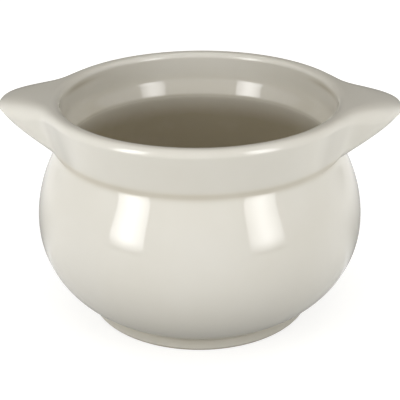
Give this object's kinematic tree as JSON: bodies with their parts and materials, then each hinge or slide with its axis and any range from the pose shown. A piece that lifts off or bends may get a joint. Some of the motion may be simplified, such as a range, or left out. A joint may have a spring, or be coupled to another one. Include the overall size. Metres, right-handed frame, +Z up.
{
  "type": "soup bowl",
  "caption": "Round-bellied ivory glazed stoneware soup bowl with a flared collar, a rounded rim, wedge-shaped side lugs and a low foot ring.",
  "frame": {"origin": "middle of the foot ring's underside, on the bowl's axis", "axes": "+Z up along the bowl's axis, +X towards the right lug, so the lugs lie along X"},
  "size_m": [0.1308, 0.1086, 0.074],
  "materials": {
    "glaze": "glossy ivory glaze",
    "foot_glaze": "ivory glaze with a bare clay standing face"
  },
  "bodies": {
    "root": {"bowl_body": "glaze", "rim_collar": "glaze", "left_lug": "glaze", "right_lug": "glaze", "foot_ring": "foot_glaze"}
  },
  "joints": []
}
